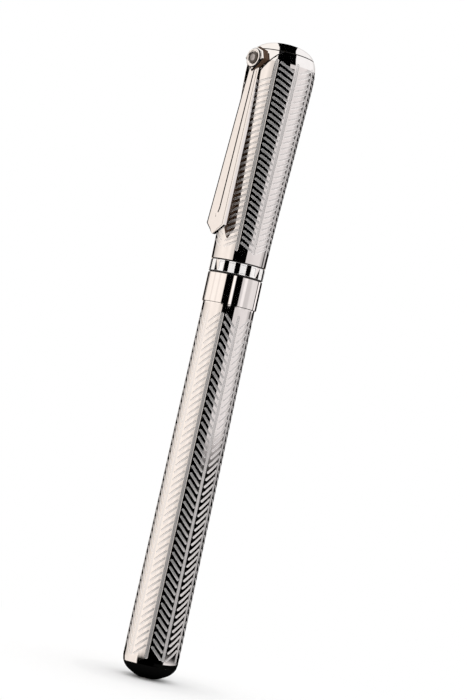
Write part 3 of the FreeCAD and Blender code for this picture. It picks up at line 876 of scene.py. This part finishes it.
class Graph:
    """Short ways to make the nodes of a world or a material."""

    def __init__(self, owner, direction):
        self.nodes, self.links = owner.node_tree.nodes, owner.node_tree.links
        self.direction = direction
        self.right, self.back = camera_axes()

    def part_along(self, axis, vector=None):
        dot = self.nodes.new("ShaderNodeVectorMath")
        dot.operation = "DOT_PRODUCT"
        dot.inputs[1].default_value = axis
        self.links.new(vector or self.direction, dot.inputs[0])
        return dot.outputs["Value"]

    def maths(self, operation, *values):
        node = self.nodes.new("ShaderNodeMath")
        node.operation = operation
        for socket, value in zip(node.inputs, values):
            if isinstance(value, (int, float)):
                socket.default_value = value
            else:
                self.links.new(value, socket)
        return node.outputs["Value"]

    def mixed(self, share, one, two):
        node = self.nodes.new("ShaderNodeMix")
        node.data_type = "RGBA"
        self.links.new(share, node.inputs["Factor"])
        for socket, value in ((node.inputs[6], one), (node.inputs[7], two)):
            if isinstance(value, tuple):
                socket.default_value = (*value, 1)
            else:
                self.links.new(value, socket)
        return node.outputs[2]

    def step(self, value, low, high):
        node = self.nodes.new("ShaderNodeMapRange")
        node.inputs["From Min"].default_value = low
        node.inputs["From Max"].default_value = high
        self.links.new(value, node.inputs["Value"])
        return node.outputs["Result"]

    def round_the_pen(self, stops, stretch=1.0):
        """Tone by the angle round the pen from the camera's side, from (degrees, tone) stops."""
        side, front = self.part_along(self.right), self.part_along(self.back)
        turn = self.maths("MULTIPLY_ADD", self.maths("ARCTAN2", side, front),
                          stretch / (2 * math.pi), 0.5)
        node = self.nodes.new("ShaderNodeValToRGB")
        ramp = node.color_ramp
        while len(ramp.elements) > 1:
            ramp.elements.remove(ramp.elements[-1])
        for index, (angle, tone) in enumerate(stops):
            place = (angle + 180) / 360
            element = ramp.elements[0] if index == 0 else ramp.elements.new(place)
            element.position = place
            green, blue = (0.90, 0.83) if angle < 0 else (0.93, 0.915)
            element.color = (tone, tone * green, tone * blue, 1)
        self.links.new(turn, node.inputs["Fac"])
        return node.outputs["Color"]


def world():
    """White for the camera; soft boxes and black flags for what the plating reflects."""
    made = bpy.data.worlds.new("studio")
    made.use_nodes = True
    bpy.context.scene.world = made
    nodes, links = made.node_tree.nodes, made.node_tree.links
    direction = nodes.new("ShaderNodeTexCoord").outputs["Generated"]
    graph = Graph(made, direction)
    side, up = graph.part_along(graph.right), graph.part_along((0, 0, 1))
    upper, lower = graph.round_the_pen(UPPER), graph.round_the_pen(LOWER)
    walls_from, walls_to, roof_from, roof_to = -0.017, 0.003, 0.135, 0.150
    slots_from, slots_to, pit_from, pit_to = -0.117, -0.127, -0.52, -0.60
    walls = graph.mixed(graph.step(up, walls_from, walls_to), lower, upper)

    # above the walls: halfway between a ray and the camera's side is the way the plating faces
    towards = graph.back * CAMERA_DISTANCE + Vector((0, 0, CAMERA_LEVEL - CAP[1]))
    half = nodes.new("ShaderNodeVectorMath")
    half.operation = "ADD"
    half.inputs[1].default_value = towards.normalized()
    links.new(direction, half.inputs[0])
    facing = nodes.new("ShaderNodeVectorMath")
    facing.operation = "NORMALIZE"
    links.new(half.outputs["Vector"], facing.inputs[0])
    facing = facing.outputs["Vector"]
    face_side = graph.part_along(graph.right, facing)
    face_up = graph.part_along((0, 0, 1), facing)
    right_edge = graph.maths("MULTIPLY_ADD", face_up, -0.20, 0.41)
    flag = graph.maths("MULTIPLY", graph.maths("LESS_THAN", face_side, right_edge),
                       graph.maths("GREATER_THAN", face_side, -0.18))
    boxes = graph.mixed(graph.step(side, -0.1, 0.1), (1.04, 0.98, 0.93), (1.0, 0.965, 0.96))
    grazing = graph.step(graph.part_along(graph.back, facing), 0.42, 0.12)
    boxes = graph.mixed(grazing, boxes, (0.52, 0.49, 0.47))
    overhead = graph.mixed(flag, boxes, (0.0, 0.0, 0.0))
    seen = graph.mixed(graph.step(face_up, roof_from, roof_to), walls, overhead)

    # below them: light far down the sides, and nothing straight down
    slots = graph.round_the_pen(SLOT_TONES)
    seen = graph.mixed(graph.step(up, slots_from, slots_to), seen, slots)
    seen = graph.mixed(graph.step(up, pit_from, pit_to), seen, (0.0, 0.0, 0.0))
    path = nodes.new("ShaderNodeLightPath")
    plain = graph.mixed(path.outputs["Is Camera Ray"], (1.4, 1.4, 1.4), (1.0, 1.0, 1.0))
    links.new(graph.mixed(path.outputs["Is Glossy Ray"], plain, seen),
              nodes["Background"].inputs["Color"])


def curved_card(name, radius, low, high, first, last, finish):
    """Curved card that only polished metal reflects; last gives its far side at a level."""
    rows, columns = 12, 40
    points, faces = [], []
    for j in range(rows + 1):
        z = low + (high - low) * j / rows
        for i in range(columns + 1):
            angle = CAMERA_AZIMUTH - 90 + first + (last(z) - first) * i / columns
            points.append(on_round(angle, radius, z - TAIL_TIP))
    for j in range(rows):
        for i in range(columns):
            a = j * (columns + 1) + i
            faces.append((a, a + 1, a + columns + 2, a + columns + 1))
    mesh = bpy.data.meshes.new(name)
    mesh.from_pydata(points, [], faces)
    mesh.materials.append(finish)
    card = bpy.data.objects.new(name, mesh)
    bpy.context.scene.collection.objects.link(card)
    card.visible_camera = card.visible_diffuse = card.visible_shadow = False


def black_card():
    """Card finish that reflects next to nothing."""
    made, _, _, shader = material("black_card", Roughness=1.0)
    shader.inputs["Base Color"].default_value = (0.003, 0.003, 0.003, 1)
    shader.inputs["Specular IOR Level"].default_value = 0.0
    return made


def striped_card(stops, stretch):
    """Glowing card with tones by the angle round the pen."""
    made, nodes, links, _ = material("striped_card")
    graph = Graph(made, nodes.new("ShaderNodeTexCoord").outputs["Object"])
    glow = nodes.new("ShaderNodeEmission")
    links.new(graph.round_the_pen(stops, stretch), glow.inputs["Color"])
    links.new(glow.outputs["Emission"], nodes["Material Output"].inputs["Surface"])
    return made


def cards():
    """Cards by the cap's right, round the wide band and by the tail's right."""
    flag_side, flag_widens, widening_from, widening_over = 33.0, 10.0, 112.0, 30.0

    def flag_edge(z):
        share = min(1.0, max(0.0, (z - widening_from) / widening_over))
        return flag_side + flag_widens * share

    above_low, above_high, nearness = 2.7, 4.2, 1.04
    off_the_floor = 0.02
    curved_card("cap_flag", 120.0, 99.2, 165.0, 24.0, flag_edge, black_card())
    curved_card("band_card", 60.0, BAND[0] + above_low, BAND[1] + above_high, -150.0,
                lambda z: 150.0, striped_card(BAND_TONES, nearness))
    curved_card("tail_fence", 16.0, TAIL_TIP + off_the_floor, 3.1, 14.0, lambda z: 165.0,
                black_card())


def floor():
    """Pale floor, lit evenly away from the pen, and a dark card that only the tail reflects."""
    bpy.ops.mesh.primitive_circle_add(vertices=128, radius=6.0, fill_type="NGON",
                                      location=(0, 0, 0))
    plane = bpy.context.object
    plane.name = "floor"
    plane.visible_glossy = False
    made, nodes, links, shader = material("pale_floor", Roughness=0.9)
    shader.inputs["Base Color"].default_value = (0.76, 0.76, 0.76, 1)
    coords = nodes.new("ShaderNodeTexCoord")
    length = nodes.new("ShaderNodeVectorMath")
    length.operation = "LENGTH"
    links.new(coords.outputs["Object"], length.inputs[0])
    fade = nodes.new("ShaderNodeMapRange")
    fade.interpolation_type = "SMOOTHSTEP"
    fade.inputs["From Min"].default_value, fade.inputs["From Max"].default_value = 0.015, 0.09
    links.new(length.outputs["Value"], fade.inputs["Value"])
    glow = nodes.new("ShaderNodeEmission")
    mix = nodes.new("ShaderNodeMixShader")
    links.new(fade.outputs["Result"], mix.inputs["Fac"])
    links.new(shader.outputs["BSDF"], mix.inputs[1])
    links.new(glow.outputs["Emission"], mix.inputs[2])
    links.new(mix.outputs["Shader"], nodes["Material Output"].inputs["Surface"])
    plane.data.materials.append(made)
    bpy.ops.mesh.primitive_circle_add(vertices=64, radius=0.016, fill_type="NGON",
                                      location=(0, 0, 0.00002))
    card = bpy.context.object
    card.name = "dark_card"
    card.visible_camera = card.visible_diffuse = card.visible_shadow = False
    card.data.materials.append(black_card())


CAP_RADIUS = radius_along(CAP_CURVE)

dress_cad_nodes()
barrel_shell()
cap_shell()
trim_ring()
turned_pieces()
clip_arm()
clip_head()
stone_setting()
shield()
camera()
world()
floor()
cards()
bpy.context.scene.view_settings.view_transform = "Standard"
